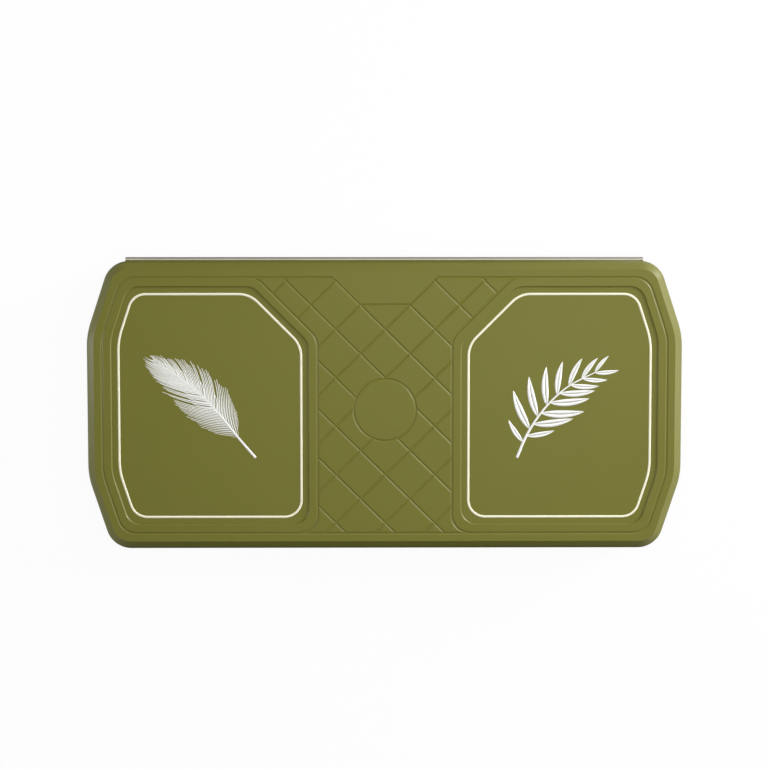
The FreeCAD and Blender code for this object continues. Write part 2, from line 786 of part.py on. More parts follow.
def make_lid_mats():
    """One mat behind each sunk panel, ribs down, with its film."""
    face_down = FreeCAD.Rotation(FreeCAD.Vector(1, 0, 0), 180)
    outline = lid_rectangle("0"), ["mat_radius"] * 4
    pieces = []
    for side, sign in (("right", ""), ("left", "-")):
        film = make_film(f"lid_mat_film_{side}", lid_rectangle("film_inset"))
        mat = make_mat(f"lid_mat_{side}", outline, "0", LID_MAT_DEPTH, LID_RIB_LENGTH)
        for piece, z in ((film, LID_CEILING), (mat, f"{LID_CEILING} - film_height")):
            piece.Placement = FreeCAD.Placement(FreeCAD.Vector(), face_down)
            place(piece, f"{sign}{LID_MAT_X}", "0", z)
            pieces.append(piece)
    return pieces


def export(pieces):
    """Check the whole document, then write one file for each piece."""
    doc.recompute()
    failed = [item.Name for item in doc.Objects if {"Invalid", "Error"} & set(item.State)]
    failed += [piece.Label for piece in pieces if piece.Shape.isNull() or not piece.Shape.isValid()]
    if failed:
        raise RuntimeError(f"these failed: {failed}")
    os.makedirs("parts", exist_ok=True)
    for piece in pieces:
        piece.Shape.exportStep(f"parts/{piece.Label}.step")


shells = [make_base(), make_lid()]
fittings = make_hinge_pins() + make_magnets() + make_tool_magnet()
mats = make_base_mat() + make_lid_mats()
export(shells + fittings + mats)
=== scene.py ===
import math
import bmesh
import bpy
from mathutils import Matrix, Vector


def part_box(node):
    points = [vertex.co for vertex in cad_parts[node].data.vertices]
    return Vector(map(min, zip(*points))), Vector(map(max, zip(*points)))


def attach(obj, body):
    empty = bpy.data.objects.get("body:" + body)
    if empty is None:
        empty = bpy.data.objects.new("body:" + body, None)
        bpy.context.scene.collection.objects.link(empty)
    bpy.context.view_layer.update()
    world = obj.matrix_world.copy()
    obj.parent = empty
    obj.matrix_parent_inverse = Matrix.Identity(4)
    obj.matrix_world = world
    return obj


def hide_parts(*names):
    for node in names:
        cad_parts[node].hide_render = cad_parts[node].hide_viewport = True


# Looks of the fly box: olive moulded shells, white printed panels, slit silicone mats inside.

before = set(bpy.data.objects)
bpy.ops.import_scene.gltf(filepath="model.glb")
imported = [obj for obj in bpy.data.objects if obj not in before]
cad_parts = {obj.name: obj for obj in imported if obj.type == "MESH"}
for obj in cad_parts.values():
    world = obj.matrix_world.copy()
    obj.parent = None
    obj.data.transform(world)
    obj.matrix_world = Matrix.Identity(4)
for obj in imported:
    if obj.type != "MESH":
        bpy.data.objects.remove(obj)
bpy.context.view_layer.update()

MM = 0.001
LEVEL = 0.9999
MERGE = 0.002 * MM
GRAIN_HEIGHT = 0.05 * MM

# Case outline and lid face, as in the part's source
CASE_LENGTH = 190 * MM
CASE_WIDTH = 92.4 * MM
END_FLAT = 45.3 * MM
CORNER_RUN = 7.8 * MM
LOOP_MARGIN = 5.6 * MM
FIELD_HALF = 21.3 * MM
PANEL_CUT = 19.2 * MM
PANEL_FLOOR = 25.4 * MM
KNUCKLE_EDGE = 46.22 * MM
KNUCKLE_CROWN = 46.55 * MM
KNUCKLE_FADE = 0.1 * MM

# Printed line and pictures on the panels
LINE_INSET = 5.2 * MM
LINE_WIDTH = 0.74 * MM
LINE_RADIUS = 5.4 * MM
LINE_CUT_RADIUS = 8.5 * MM
LINE_END_RADIUS = 22 * MM
INK_HEIGHT = 0.04 * MM
PICTURE_X = 57.5 * MM
FEATHER_QUILL = ((16.5, -16.5), (10.5, -9.5), (4.0, -1.5), (-4.0, 6.5), (-15.5, 14.5))
WILLOW_TWIG = ((-15.5, -16.5), (-12.0, -8.5), (-6.5, -0.5), (0.5, 6.0), (9.0, 10.5))

# Studio, in metres, and the fitted camera
FLOOR_HALF = 3.0
CASE_MIDDLE = (0, 0, 0.02)
CAMERA_LENS = 76.91
CAMERA_SENSOR = 36
CAMERA_NEAR = 0.01
CAMERA_PLACE = (-3.87 * MM, 41.42 * MM, 546 * MM)
CAMERA_TARGET = (0.21 * MM, 6.83 * MM, 26 * MM)
CAMERA_UP = (0.0003, 1, 0)

# Slit mats
SHEET_HEIGHT = 1.5 * MM
RIB_HEIGHT = 3.5 * MM
RIB_WIDTH = 4.4 * MM
RIB_TAPER = 0.7 * MM
RIB_SLIT = 0.5 * MM
RIB_PITCH = 8 * MM
RIB_ROUND = 0.45 * MM
CUT_PITCH = 5 * MM
CUT_GAP = 0.25 * MM
BASE_ROWS = 9
BASE_RIB = 160 * MM
LID_ROWS = 8
LID_RIB = 53 * MM


# Nodes

def put(tree, kind, inputs=None, **settings):
    """New node with its settings, each input a plain value or the socket that feeds it."""
    made = tree.nodes.new(kind)
    for name, setting in settings.items():
        setattr(made, name, setting)
    for key, source in (inputs or {}).items():
        if isinstance(source, bpy.types.NodeSocket):
            tree.links.new(source, made.inputs[key])
        else:
            made.inputs[key].default_value = source
    return made


def sums(tree, operation, *values):
    """Output of a Math node."""
    return put(tree, "ShaderNodeMath", dict(enumerate(values)), operation=operation).outputs[0]


def fade(tree, value, start, end, low=0.0, high=1.0):
    """Number that goes evenly from start to end as the value goes from low to high."""
    return put(tree, "ShaderNodeMapRange", {
        "Value": value, "From Min": low, "From Max": high, "To Min": start, "To Max": end,
    }).outputs["Result"]


def vector(tree, **parts):
    """Vector with the given parts, the others nought."""
    return put(tree, "ShaderNodeCombineXYZ", parts).outputs[0]


# Materials

def finish(name, low, high, patch, grain, grain_depth, roughness, **sockets):
    """Shader with soft patches of two close colours and roughnesses, and a fine grain in its surface."""
    material = bpy.data.materials.new(name)
    material.use_nodes = True
    tree = material.node_tree
    shader = tree.nodes["Principled BSDF"]
    place = put(tree, "ShaderNodeTexCoord").outputs["Object"]
    patches = put(tree, "ShaderNodeTexNoise", {"Vector": place, "Scale": patch, "Detail": 3.0}).outputs["Fac"]
    tones = {"Factor": patches, "A": (*low, 1), "B": (*high, 1)}
    colour = put(tree, "ShaderNodeMix", tones, data_type="RGBA")
    tree.links.new(colour.outputs["Result"], shader.inputs["Base Color"])
    speckle = put(tree, "ShaderNodeTexNoise", {"Vector": place, "Scale": grain, "Detail": 2.0}).outputs["Fac"]
    tree.links.new(fade(tree, speckle, *roughness), shader.inputs["Roughness"])
    bump = put(tree, "ShaderNodeBump", {"Height": speckle, "Strength": grain_depth, "Distance": GRAIN_HEIGHT})
    tree.links.new(bump.outputs["Normal"], shader.inputs["Normal"])
    for socket, setting in sockets.items():
        shader.inputs[socket.replace("_", " ")].default_value = setting
    return material


def paint_knuckle_highlight_and_shade(material):
    """Painted highlight and painted shade on the shells' hinge knuckles, which stand out beyond the back
    wall: a pale cream band as the barrel's highlight, then grey beyond its crown as its shaded outer side.
    """
    tree = material.node_tree
    shader = tree.nodes["Principled BSDF"]
    moulded = shader.inputs["Base Color"].links[0].from_socket
    place = put(tree, "ShaderNodeTexCoord").outputs["Object"]
    back = put(tree, "ShaderNodeSeparateXYZ", {0: place}).outputs["Y"]
    colour = moulded
    # painted highlight in pale cream from the knuckle edge, painted shade in grey beyond the crown
    for edge, painted_light_tone in ((KNUCKLE_EDGE, (0.72, 0.70, 0.55, 1)), (KNUCKLE_CROWN, (0.29, 0.28, 0.25, 1))):
        beyond = fade(tree, back, 0.0, 1.0, edge, edge + KNUCKLE_FADE)
        layers = {"Factor": beyond, "A": colour, "B": painted_light_tone}
        colour = put(tree, "ShaderNodeMix", layers, data_type="RGBA").outputs["Result"]
    tree.links.new(colour, shader.inputs["Base Color"])


OLIVE = finish("olive_moulding", (0.154, 0.151, 0.018), (0.166, 0.162, 0.021), 45, 3200, 0.12, (0.37, 0.45))
# painted highlight and painted shade on the hinge knuckles
paint_knuckle_highlight_and_shade(OLIVE)
IVORY_INK = finish("ivory_ink", (0.95, 0.93, 0.70), (0.98, 0.96, 0.74), 400, 5000, 0.10, (0.50, 0.62))
WHITE_INK = finish("white_ink", (0.94, 0.94, 0.91), (0.97, 0.97, 0.94), 400, 5000, 0.10, (0.50, 0.62))
SILICONE = finish("mat_silicone", (0.52, 0.52, 0.45), (0.58, 0.57, 0.50), 90, 1500, 0.10, (0.46, 0.58))
FILM = finish("clear_film", (0.70, 0.70, 0.66), (0.76, 0.76, 0.72), 120, 2500, 0.05, (0.25, 0.35))
STEEL = finish("pin_steel", (0.55, 0.55, 0.54), (0.62, 0.62, 0.61), 300, 4000, 0.08, (0.22, 0.34),
               Metallic=1.0)
NICKEL = finish("magnet_nickel", (0.62, 0.60, 0.56), (0.70, 0.68, 0.64), 200, 4000, 0.05, (0.16, 0.26),
                Metallic=1.0)
CAP = finish("cap_plastic", (0.060, 0.060, 0.020), (0.070, 0.069, 0.024), 160, 3000, 0.12, (0.42, 0.52))


# Pieces

def show(name, mesh, material):
    """Put a mesh in the scene as a piece with one material."""
    mesh.name = name
    mesh.materials.clear()
    mesh.materials.append(material)
    piece = bpy.data.objects.new(name, mesh)
    bpy.context.scene.collection.objects.link(piece)
    return piece


def bake(piece):
    """Swap the piece's modifiers for the plain mesh that they make."""
    depsgraph = bpy.context.evaluated_depsgraph_get()
    mesh = bpy.data.meshes.new_from_object(piece.evaluated_get(depsgraph), depsgraph=depsgraph)
    mesh.name = piece.name
    piece.modifiers.clear()
    piece.data = mesh
    return piece


def smooth_copy(node, name, body, material, sharp=22):
    """Merged copy of a CAD node with smooth rounds and crisp edges, which takes the node's place."""
    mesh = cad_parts[node].data.copy()
    if mesh.has_custom_normals:
        mesh.attributes.remove(mesh.attributes["custom_normal"])
    work = bmesh.new()
    work.from_mesh(mesh)
    bmesh.ops.remove_doubles(work, verts=work.verts, dist=MERGE)
    for face in work.faces:
        face.smooth = abs(face.normal.z) < LEVEL
    work.to_mesh(mesh)
    work.free()
    mesh.set_sharp_from_angle(angle=math.radians(sharp))
    piece = show(name, mesh, material)
    normals = piece.modifiers.new("even_normals", "WEIGHTED_NORMAL")
    normals.mode = "FACE_AREA"
    normals.weight = 100
    normals.keep_sharp = True
    bake(piece)
    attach(piece, body)
    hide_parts(node)
    return piece


def run_tree(name, carrier, tree, sizes):
    """The mesh that a Geometry Nodes tree makes from a carrier mesh, with its named inputs set."""
    piece = bpy.data.objects.new(name, carrier)
    bpy.context.scene.collection.objects.link(piece)
    modifier = piece.modifiers.new(tree.name, "NODES")
    modifier.node_group = tree
    for item in tree.interface.items_tree:
        if item.in_out == "INPUT" and item.name in sizes:
            modifier[item.identifier] = sizes[item.name]
    return bake(piece)


def new_tree(name, inputs):
    """Geometry Nodes tree with a mesh in, a mesh out and named inputs."""
    tree = bpy.data.node_groups.new(name, "GeometryNodeTree")
    tree.interface.new_socket(name="Geometry", in_out="INPUT", socket_type="NodeSocketGeometry")
    for label, kind in inputs.items():
        tree.interface.new_socket(name=label, in_out="INPUT", socket_type=f"NodeSocket{kind}")
    tree.interface.new_socket(name="Geometry", in_out="OUTPUT", socket_type="NodeSocketGeometry")
    return tree, tree.nodes.new("NodeGroupInput").outputs


def joined(tree, shapes):
    together = put(tree, "GeometryNodeJoinGeometry")
    for shape in shapes:
        tree.links.new(shape, together.inputs[0])
    return together.outputs[0]


def close_tree(tree, shapes, material):
    """Join the shapes, make them real and give them their material."""
    real = put(tree, "GeometryNodeRealizeInstances", {0: joined(tree, shapes)})
    painted = put(tree, "GeometryNodeSetMaterial", {"Geometry": real.outputs[0], "Material": material})
    put(tree, "NodeGroupOutput", {0: painted.outputs[0]})


def flat_profile(tree, width, height):
    """Rectangle that stands on the path and reaches up by the height."""
    box = put(tree, "GeometryNodeCurvePrimitiveQuadrilateral", {"Width": width, "Height": height})
    up = vector(tree, Y=sums(tree, "MULTIPLY", height, -0.5))
    return put(tree, "GeometryNodeTransform", {"Geometry": box.outputs[0], "Translation": up}).outputs[0]


def ribbon(tree, path, profile, scale=1.0):
    """Closed strip along a path in the plan, kept upright, its profile scaled along the way."""
    level = put(tree, "GeometryNodeSetCurveNormal", {0: path}, mode="Z_UP").outputs[0]
    return put(tree, "GeometryNodeCurveToMesh", {
        "Curve": level, "Profile Curve": profile, "Scale": scale, "Fill Caps": True,
    }).outputs[0]


# Printed lines round the panels

def panel_corners(inset):
    """Corners and radii of the right panel's outline, moved inwards from its groove loop."""
    depth = LOOP_MARGIN + inset
    rise = (CASE_WIDTH - END_FLAT) / 2
    slant = math.hypot(CORNER_RUN, rise)
    end_x = CASE_LENGTH / 2 - depth
    end_y = END_FLAT / 2 - depth * (slant - rise) / CORNER_RUN
    side_x = CASE_LENGTH / 2 - CORNER_RUN + depth * (CORNER_RUN - slant) / rise
    side_y = CASE_WIDTH / 2 - depth
    inner_x = FIELD_HALF + inset
    cut = PANEL_CUT - inset * (2 - math.sqrt(2))
    return [
        (end_x, -end_y, LINE_END_RADIUS),
        (end_x, end_y, LINE_END_RADIUS),
        (side_x, side_y, LINE_RADIUS),
        (inner_x + cut, side_y, LINE_CUT_RADIUS),
        (inner_x, side_y - cut, LINE_CUT_RADIUS),
        (inner_x, -side_y, LINE_RADIUS),
        (side_x, -side_y, LINE_RADIUS),
    ]


def panel_line_tree():
    """A printed line that follows an outline whose corners carry their own radii."""
    tree, size = new_tree("panel_line", {"Line width": "Float", "Ink height": "Float", "Ink": "Material"})
    outline = put(tree, "GeometryNodeMeshToCurve", {0: size["Geometry"]}).outputs[0]
    radius = put(tree, "GeometryNodeInputNamedAttribute", {"Name": "corner_radius"}, data_type="FLOAT")
    rounded = put(tree, "GeometryNodeFilletCurve",
                  {"Curve": outline, "Radius": radius.outputs[0], "Count": 10}, mode="POLY")
    line = ribbon(tree, rounded.outputs[0], flat_profile(tree, size["Line width"], size["Ink height"]))
    close_tree(tree, [line], size["Ink"])
    return tree


def ring_mesh(name, corners, z):
    """Closed chain of points in the plan, each with its corner radius."""
    mesh = bpy.data.meshes.new(name)
    count = len(corners)
    sides = [(i, (i + 1) % count) for i in range(count)]
    mesh.from_pydata([(x, y, z) for x, y, radius in corners], sides, [])
    radii = mesh.attributes.new("corner_radius", "FLOAT", "POINT")
    radii.data.foreach_set("value", [radius for x, y, radius in corners])
    return mesh


def print_lines():
    tree = panel_line_tree()
    for side, sign in (("right", 1), ("left", -1)):
        corners = [(sign * x, y, radius) for x, y, radius in panel_corners(LINE_INSET)][::sign]
        carrier = ring_mesh(f"panel_line_{side}", corners, PANEL_FLOOR)
        sizes = {"Line width": LINE_WIDTH, "Ink height": INK_HEIGHT, "Ink": IVORY_INK}
        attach(run_tree(f"panel_line_{side}", carrier, tree, sizes), "lid")


# Pictures in the panels

def chain_mesh(name, points, middle_x):
    """Open chain of points on a panel's floor."""
    mesh = bpy.data.meshes.new(name)
    chain = [(middle_x + x * MM, y * MM, PANEL_FLOOR) for x, y in points]
    mesh.from_pydata(chain, [(i, i + 1) for i in range(len(chain) - 1)], [])
    return mesh


def smooth_stem(tree, chain):
    """Smooth curve through a chain of points."""
    path = put(tree, "GeometryNodeMeshToCurve", {0: chain}).outputs[0]
    path = put(tree, "GeometryNodeCurveSplineType", {0: path}, spline_type="CATMULL_ROM").outputs[0]
    return put(tree, "GeometryNodeResampleCurve", {"Curve": path, "Count": 48}, mode="COUNT").outputs[0]


def seats_on(tree, stem, count, bare):
    """Points along a stem beyond its bare foot, with each one's share of the way and heading."""
    leafy = put(tree, "GeometryNodeTrimCurve", {"Curve": stem, "Start": bare}, mode="FACTOR").outputs[0]
    seats = put(tree, "GeometryNodeCurveToPoints", {"Curve": leafy, "Count": count}, mode="COUNT").outputs
    index = put(tree, "GeometryNodeInputIndex").outputs[0]
    share = sums(tree, "DIVIDE", index, sums(tree, "SUBTRACT", count, 1.0))
    ahead = put(tree, "ShaderNodeSeparateXYZ", {0: seats["Tangent"]}).outputs
    return seats["Points"], share, sums(tree, "ARCTAN2", ahead["Y"], ahead["X"])


def set_out(tree, points, shape, heading, scale):
    """The shape on each point, turned in the plan and scaled."""
    turn = vector(tree, Z=heading)
    turned = put(tree, "FunctionNodeEulerToRotation", {0: turn}).outputs[0]
    placed = {"Points": points, "Instance": shape, "Rotation": turned, "Scale": scale}
    return put(tree, "GeometryNodeInstanceOnPoints", placed).outputs[0]


def chance(tree, low, high, seed):
    """Seeded random number for each point."""
    return put(tree, "FunctionNodeRandomValue", {2: low, 3: high, "Seed": seed}, data_type="FLOAT").outputs[1]


def along(tree):
    """A curve point's share of its curve."""
    return put(tree, "GeometryNodeSplineParameter").outputs["Factor"]


def feather_tree():
    """A quill with fine barbs that swell and fade along it, longer on one side, with a few short ones."""
    tree, size = new_tree("feather", {
        "Barbs": "Int", "Bare quill": "Float", "Quill width": "Float", "Barb width": "Float",
        "Long side": "Float", "Short side": "Float", "Root angle": "Float", "Tip angle": "Float",
        "Barb bow": "Float", "Ink height": "Float", "Seed": "Int", "Ink": "Material",
    })
    stem = smooth_stem(tree, size["Geometry"])
    quill_profile = flat_profile(tree, size["Quill width"], size["Ink height"])
    shapes = [ribbon(tree, stem, quill_profile, fade(tree, along(tree), 1.0, 0.25))]
    barb_profile = flat_profile(tree, size["Barb width"], sums(tree, "MULTIPLY", size["Ink height"], 0.7))
    points, share, heading = seats_on(tree, stem, size["Barbs"], size["Bare quill"])
    wave = sums(tree, "SINE", sums(tree, "MULTIPLY", sums(tree, "POWER", share, 0.62), math.pi))
    swell = fade(tree, sums(tree, "POWER", sums(tree, "MAXIMUM", wave, 0.0), 0.7), 0.16, 1.0)
    lean = fade(tree, share, size["Root angle"], size["Tip angle"])
    for side, reach in ((1.0, "Long side"), (-1.0, "Short side")):
        seed = sums(tree, "ADD", size["Seed"], side)
        parted = sums(tree, "LESS_THAN", chance(tree, 0.0, 1.0, seed), 0.10)
        uneven = sums(tree, "MULTIPLY", chance(tree, 0.88, 1.04, sums(tree, "ADD", seed, 7.0)),
                      fade(tree, parted, 1.0, 0.55))
        length = sums(tree, "MULTIPLY", sums(tree, "MULTIPLY", size[reach], swell), uneven)
        bow = vector(tree, X=0.5, Y=sums(tree, "MULTIPLY", size["Barb bow"], side))
        arc = put(tree, "GeometryNodeCurveQuadraticBezier", {
            "Resolution": 6, "Start": (0.0, 0.0, 0.0), "Middle": bow, "End": (1.0, 0.0, 0.0)}).outputs[0]
        barb = ribbon(tree, arc, barb_profile, fade(tree, along(tree), 1.0, 0.3))
        angle = sums(tree, "ADD", heading, sums(tree, "MULTIPLY", lean, side))
        stretch = vector(tree, X=length, Y=fade(tree, swell, 0.35, 1.0), Z=1.0)
        shapes.append(set_out(tree, points, barb, angle, stretch))
    close_tree(tree, shapes, size["Ink"])
    return tree


def willow_leaf(tree, width, bow, height):
    """Leaf of unit length in two halves, with a bare midrib between them."""
    middle = vector(tree, X=0.5, Y=bow)
    arc = put(tree, "GeometryNodeCurveQuadraticBezier", {
        "Resolution": 9, "Start": (0.0, 0.0, 0.0), "Middle": middle, "End": (1.0, 0.0, 0.0)}).outputs[0]
    belly = sums(tree, "SINE", sums(tree, "MULTIPLY", sums(tree, "POWER", along(tree), 0.85), math.pi))
    swell = fade(tree, sums(tree, "POWER", sums(tree, "MAXIMUM", belly, 0.0), 0.8), 0.04, 1.0)
    halves = []
    for side in (1.0, -1.0):
        half = vector(tree, X=sums(tree, "MULTIPLY", width, 0.56 * side))
        profile = put(tree, "GeometryNodeTransform", {
            "Geometry": flat_profile(tree, width, height), "Translation": half}).outputs[0]
        halves.append(ribbon(tree, arc, profile, swell))
    return joined(tree, halves)


def willow_tree():
    """A twig with long leaves on both sides by turns, which shorten and close up towards the tip."""
    tree, size = new_tree("willow", {
        "Leaves": "Int", "Bare twig": "Float", "Side step": "Float", "Twig width": "Float",
        "Leaf length": "Float", "Leaf width": "Float", "Leaf bow": "Float", "Root angle": "Float",
        "Tip angle": "Float", "Ink height": "Float", "Seed": "Int", "Ink": "Material",
    })
    stem = smooth_stem(tree, size["Geometry"])
    twig_profile = flat_profile(tree, size["Twig width"], size["Ink height"])
    shapes = [ribbon(tree, stem, twig_profile, fade(tree, along(tree), 1.0, 0.35))]
    leaf_height = sums(tree, "MULTIPLY", size["Ink height"], 0.7)
    for side in (1.0, -1.0):
        later = sums(tree, "MULTIPLY", size["Side step"], 0.5 - 0.5 * side)
        bare = sums(tree, "ADD", size["Bare twig"], later)
        points, share, heading = seats_on(tree, stem, size["Leaves"], bare)
        seed = sums(tree, "ADD", size["Seed"], side)
        young = sums(tree, "MINIMUM", fade(tree, share, 0.62, 2.6), fade(tree, share, 1.12, 0.52))
        grown = sums(tree, "MULTIPLY", size["Leaf length"], young)
        length = sums(tree, "MULTIPLY", grown, chance(tree, 0.9, 1.06, seed))
        lean = fade(tree, share, size["Root angle"], size["Tip angle"])
        lean = sums(tree, "MULTIPLY", lean, chance(tree, 0.9, 1.1, sums(tree, "ADD", seed, 5.0)))
        angle = sums(tree, "ADD", heading, sums(tree, "MULTIPLY", lean, side))
        bow = sums(tree, "MULTIPLY", size["Leaf bow"], side)
        leaf = willow_leaf(tree, size["Leaf width"], bow, leaf_height)
        stretch = vector(tree, X=length, Y=length, Z=1.0)
        shapes.append(set_out(tree, points, leaf, angle, stretch))
    close_tree(tree, shapes, size["Ink"])
    return tree


def print_pictures():
    feather = {
        "Barbs": 52, "Bare quill": 0.20, "Quill width": 0.8 * MM, "Barb width": 0.42 * MM,
        "Long side": 15 * MM, "Short side": 11.5 * MM, "Root angle": math.radians(46),
        "Tip angle": math.radians(11), "Barb bow": 1.1 * MM, "Ink height": INK_HEIGHT, "Seed": 11,
        "Ink": WHITE_INK,
    }
    willow = {
        "Leaves": 8, "Bare twig": 0.14, "Side step": 0.06, "Twig width": 0.9 * MM, "Leaf length": 14 * MM,
        "Leaf width": 0.085, "Leaf bow": 0.09, "Root angle": math.radians(56), "Tip angle": math.radians(22),
        "Ink height": INK_HEIGHT, "Seed": 4, "Ink": WHITE_INK,
    }
    for name, tree, sizes, points, middle_x in (
        ("feather_print", feather_tree(), feather, FEATHER_QUILL, -PICTURE_X),
        ("willow_print", willow_tree(), willow, WILLOW_TWIG, PICTURE_X),
    ):
        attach(run_tree(name, chain_mesh(name, points, middle_x), tree, sizes), "lid")


# Slit mats

def mat_sheet(name, node, back, front):
    """Sheet of a mat, drawn out from the flat back of its CAD node."""
    work = bmesh.new()
    work.from_mesh(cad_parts[node].data)
    bmesh.ops.remove_doubles(work, verts=work.verts, dist=MERGE)
    others = [face for face in work.faces if any(abs(vert.co.z - back) > MERGE for vert in face.verts)]
    bmesh.ops.delete(work, geom=others, context="FACES")
    drawn = bmesh.ops.extrude_face_region(work, geom=work.faces[:])["geom"]
    edge = [item for item in drawn if isinstance(item, bmesh.types.BMVert)]
    bmesh.ops.translate(work, verts=edge, vec=(0, 0, front - back))
    bmesh.ops.recalc_face_normals(work, faces=work.faces)
    mesh = bpy.data.meshes.new(name)
    work.to_mesh(mesh)
    work.free()
    return mesh


def slit_mat_tree():
    """A sheet with rows of ribs, each slit along its top and cut across into short teeth."""
    tree, size = new_tree("slit_mat", {
        "Rows": "Int", "Row pitch": "Float", "First row": "Vector", "Teeth": "Int", "Cut pitch": "Float",
        "Cut gap": "Float", "Rib width": "Float", "Rib taper": "Float", "Rib height": "Float",
        "Slit": "Float", "Rib round": "Float", "Rib sign": "Float", "Silicone": "Material",
    })
    half_slit = sums(tree, "MULTIPLY", size["Slit"], 0.5)
    foot = sums(tree, "MULTIPLY", size["Rib width"], 0.5)
    crown = sums(tree, "SUBTRACT", foot, size["Rib taper"])
    length = sums(tree, "SUBTRACT", size["Cut pitch"], size["Cut gap"])
    teeth = []
    for side in (1, -1):
        corners = []
        top = size["Rib height"]
        for reach, height in ((half_slit, 0.0), (foot, 0.0), (crown, top), (half_slit, top)):
            y = sums(tree, "MULTIPLY", reach, float(side))
            z = sums(tree, "MULTIPLY", height, size["Rib sign"])
            corners.append(vector(tree, X=y, Y=z))
        outline = put(tree, "GeometryNodeCurvePrimitiveQuadrilateral", mode="POINTS")
        for number, corner in enumerate(corners, start=1):
            tree.links.new(corner, outline.inputs[f"Point {number}"])
        rounded = put(tree, "GeometryNodeFilletCurve", mode="POLY", inputs={
            "Curve": outline.outputs[0], "Radius": size["Rib round"], "Count": 3, "Limit Radius": True})
        end = vector(tree, X=length)
        path = put(tree, "GeometryNodeCurvePrimitiveLine", {"Start": (0.0, 0.0, 0.0), "End": end}).outputs[0]
        teeth.append(ribbon(tree, path, rounded.outputs[0]))
    step = vector(tree, X=size["Cut pitch"])
    row = put(tree, "GeometryNodeMeshLine", {"Count": size["Teeth"], "Offset": step}).outputs[0]
    tooth = joined(tree, teeth)
    rib = put(tree, "GeometryNodeInstanceOnPoints", {"Points": row, "Instance": tooth}).outputs[0]
    drop = vector(tree, Y=size["Row pitch"])
    rows = put(tree, "GeometryNodeMeshLine",
               {"Count": size["Rows"], "Start Location": size["First row"], "Offset": drop}).outputs[0]
    ribs = put(tree, "GeometryNodeInstanceOnPoints", {"Points": rows, "Instance": rib}).outputs[0]
    close_tree(tree, [size["Geometry"], ribs], size["Silicone"])
    return tree


def lay_mat(name, node, body, tree, rows, rib_length, rib_sign):
    """One mat in the place of its CAD node, its ribs on the side that the sign gives."""
    low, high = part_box(node)
    back = low.z if rib_sign > 0 else high.z
    front = back + rib_sign * SHEET_HEIGHT
    middle = (low + high) / 2
    teeth = round(rib_length / CUT_PITCH)
    start = Vector((middle.x - rib_length / 2, middle.y - (rows - 1) / 2 * RIB_PITCH, front))
    sizes = {
        "Rows": rows, "Row pitch": RIB_PITCH, "First row": start, "Teeth": teeth,
        "Cut pitch": rib_length / teeth, "Cut gap": CUT_GAP, "Rib width": RIB_WIDTH, "Rib taper": RIB_TAPER,
        "Rib height": RIB_HEIGHT, "Slit": RIB_SLIT, "Rib round": RIB_ROUND, "Rib sign": -rib_sign,
        "Silicone": SILICONE,
    }
    mat = run_tree(name, mat_sheet(name, node, back, front), tree, sizes)
    work = bmesh.new()
    work.from_mesh(mat.data)
    bmesh.ops.recalc_face_normals(work, faces=work.faces)
    work.to_mesh(mat.data)
    work.free()
    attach(mat, body)
    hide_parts(node)


def lay_mats():
    tree = slit_mat_tree()
    lay_mat("slit_mat_base", "base_mat", "base", tree, BASE_ROWS, BASE_RIB, 1.0)
    for side in ("left", "right"):
        lay_mat(f"slit_mat_{side}", f"lid_mat_{side}", "lid", tree, LID_ROWS, LID_RIB, -1.0)


# Shells and fittings

smooth_copy("lid_shell", "lid_case", "lid", OLIVE)
smooth_copy("base_shell", "base_case", "base", OLIVE)
smooth_copy("tool_magnet_cap", "tool_cap", "lid", CAP)
for hand in ("left", "right"):
    smooth_copy(f"hinge_pin_{hand}", f"steel_pin_{hand}", "base", STEEL)
for node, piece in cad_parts.items():
    if "cap" in node:
        paint = CAP
    elif "magnet" in node:
        paint = NICKEL
    elif "film" in node:
        paint = FILM
    else:
        continue
    piece.data.materials.clear()
    piece.data.materials.append(paint)
print_lines()
print_pictures()
lay_mats()


# Floor, light and camera

def seen_by_eye(tree, mirror_share=1.0):
    """1 for rays from the camera, and a share of that for rays that a surface mirrors or passes on."""
    path = put(tree, "ShaderNodeLightPath").outputs
    mirrored = sums(tree, "MAXIMUM", path["Is Glossy Ray"], path["Is Transmission Ray"])
    return sums(tree, "MAXIMUM", path["Is Camera Ray"], sums(tree, "MULTIPLY", mirrored, mirror_share))


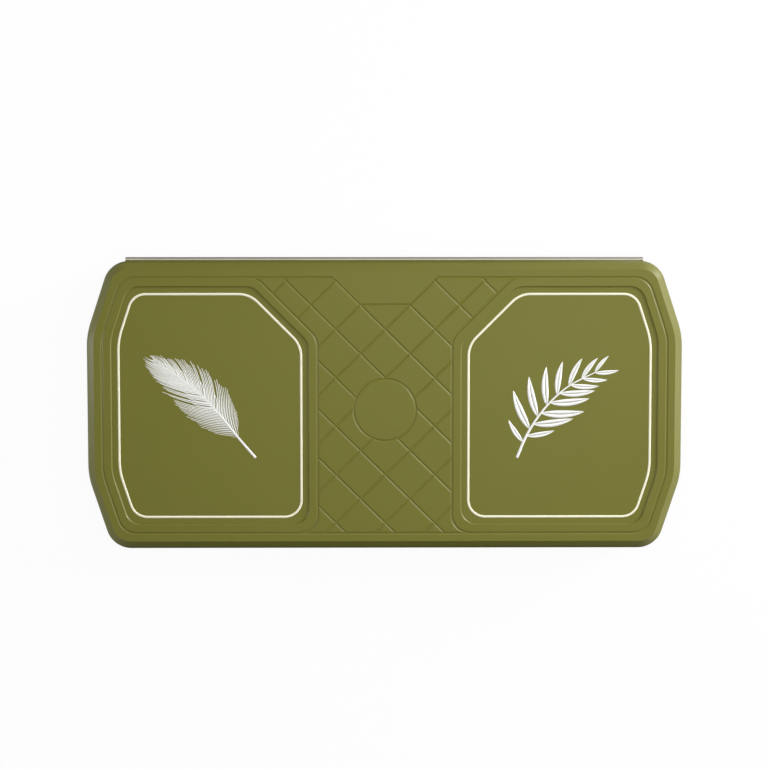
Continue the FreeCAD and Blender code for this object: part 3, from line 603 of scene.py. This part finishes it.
def lay_floor():
    """White to the eye with the box's shadow near it; in bounced and mirrored light it carries painted shade,
    dark beside the box's long sides and pale towards its ends.
    """
    corners = [(x * FLOOR_HALF, y * FLOOR_HALF, 0) for x, y in ((-1, -1), (1, -1), (1, 1), (-1, 1))]
    mesh = bpy.data.meshes.new("studio_floor")
    mesh.from_pydata(corners, [], [(0, 1, 2, 3)])
    material = bpy.data.materials.new("studio_floor")
    material.use_nodes = True
    tree = material.node_tree
    tree.nodes.clear()
    place = put(tree, "ShaderNodeTexCoord").outputs["Object"]
    spot = put(tree, "ShaderNodeSeparateXYZ", {0: place}).outputs
    back_right = sums(tree, "ADD", spot["X"], sums(tree, "MULTIPLY", spot["Y"], 0.5))
    reach = sums(tree, "MAXIMUM", sums(tree, "ABSOLUTE", spot["X"]), back_right)
    # painted shade: floor tone 0.08 beside the box's long sides and 0.85 towards its ends, seen only in
    # bounced and mirrored light
    painted_floor_shade = fade(tree, reach, 0.08, 0.85, 0.09, 0.16)
    matt = put(tree, "ShaderNodeBsdfDiffuse", {"Color": painted_floor_shade}).outputs[0]
    bright = put(tree, "ShaderNodeBsdfDiffuse", {"Color": (0.95, 0.95, 0.95, 1)}).outputs[0]
    white = put(tree, "ShaderNodeEmission", {"Color": (1, 1, 1, 1), "Strength": 1.0}).outputs[0]
    away = put(tree, "ShaderNodeVectorMath", {0: place}, operation="LENGTH").outputs["Value"]
    plain = fade(tree, away, 0.95, 1.0, 0.25, 0.9)
    shown = put(tree, "ShaderNodeMixShader", {0: plain, 1: bright, 2: white}).outputs[0]
    surface = put(tree, "ShaderNodeMixShader", {0: seen_by_eye(tree, painted_floor_shade), 1: matt, 2: shown}).outputs[0]
    put(tree, "ShaderNodeOutputMaterial", {"Surface": surface})
    floor = show("studio_floor", mesh, material)


def light_world():
    """White to the eye, brightest on the right in mirrored light, with a weak light of its own."""
    world = bpy.data.worlds.new("studio")
    bpy.context.scene.world = world
    world.use_nodes = True
    tree = world.node_tree
    tree.nodes.clear()
    path = put(tree, "ShaderNodeLightPath").outputs
    direction = put(tree, "ShaderNodeTexCoord").outputs["Generated"]
    heading = put(tree, "ShaderNodeSeparateXYZ", {0: direction}).outputs
    front = sums(tree, "MULTIPLY", sums(tree, "MINIMUM", heading["Y"], 0.0), 0.3)
    low_sides = fade(tree, sums(tree, "ADD", heading["X"], front), 0.1, 2.0, -0.15, 0.5)
    height = fade(tree, heading["Z"], 0.0, 1.0, 0.15, 0.45)
    room = put(tree, "ShaderNodeMix", {"Factor": height, "A": low_sides, "B": 0.45}).outputs[0]
    eye = put(tree, "ShaderNodeMix", {"Factor": path["Is Camera Ray"], "A": room, "B": 1.0}).outputs[0]
    strength = put(tree, "ShaderNodeMix", {"Factor": seen_by_eye(tree), "A": 0.12, "B": eye}).outputs[0]
    shown = put(tree, "ShaderNodeBackground", {"Color": (1, 1, 1, 1), "Strength": strength}).outputs[0]
    put(tree, "ShaderNodeOutputWorld", {"Surface": shown})


def look_at(item, place, target, up):
    """Place a light or camera so that it faces the target, with the given direction upwards."""
    ahead = (Vector(target) - Vector(place)).normalized()
    right = ahead.cross(Vector(up)).normalized()
    turn = Matrix((right, right.cross(ahead), -ahead)).transposed()
    item.matrix_world = Matrix.Translation(place) @ turn.to_4x4()
    bpy.context.scene.collection.objects.link(item)


def area_light(name, place, target, size, power, mirrored=True):
    lamp = bpy.data.lights.new(name, "AREA")
    lamp.shape = "RECTANGLE"
    lamp.size, lamp.size_y = size
    lamp.energy = power
    item = bpy.data.objects.new(name, lamp)
    look_at(item, place, target, (0, 1, 0))
    item.visible_glossy = mirrored
    item.visible_camera = False


def set_camera():
    camera = bpy.data.cameras.new("photo_view")
    camera.sensor_fit = "HORIZONTAL"
    camera.sensor_width = CAMERA_SENSOR
    camera.lens = CAMERA_LENS
    camera.clip_start = CAMERA_NEAR
    item = bpy.data.objects.new("photo_view", camera)
    look_at(item, CAMERA_PLACE, CAMERA_TARGET, CAMERA_UP)
    bpy.context.scene.camera = item


lay_floor()
light_world()
area_light("overhead_softbox", (0.07, 0.055, 0.38), (0.05, 0.03, 0), (0.25, 0.25), 0.77, mirrored=False)
area_light("side_window", (0.60, 0.27, 0.42), CASE_MIDDLE, (0.20, 0.20), 1.95)
area_light("low_window", (0.62, 0.36, 0.16), CASE_MIDDLE, (0.40, 0.16), 3.75)
area_light("floor_card_left", (-0.30, 0.02, 0.012), CASE_MIDDLE, (0.50, 0.02), 0.42)
area_light("floor_card_right", (0.32, 0.0, 0.012), CASE_MIDDLE, (0.25, 0.02), 0.12)
set_camera()
bpy.context.scene.view_settings.view_transform = "Standard"
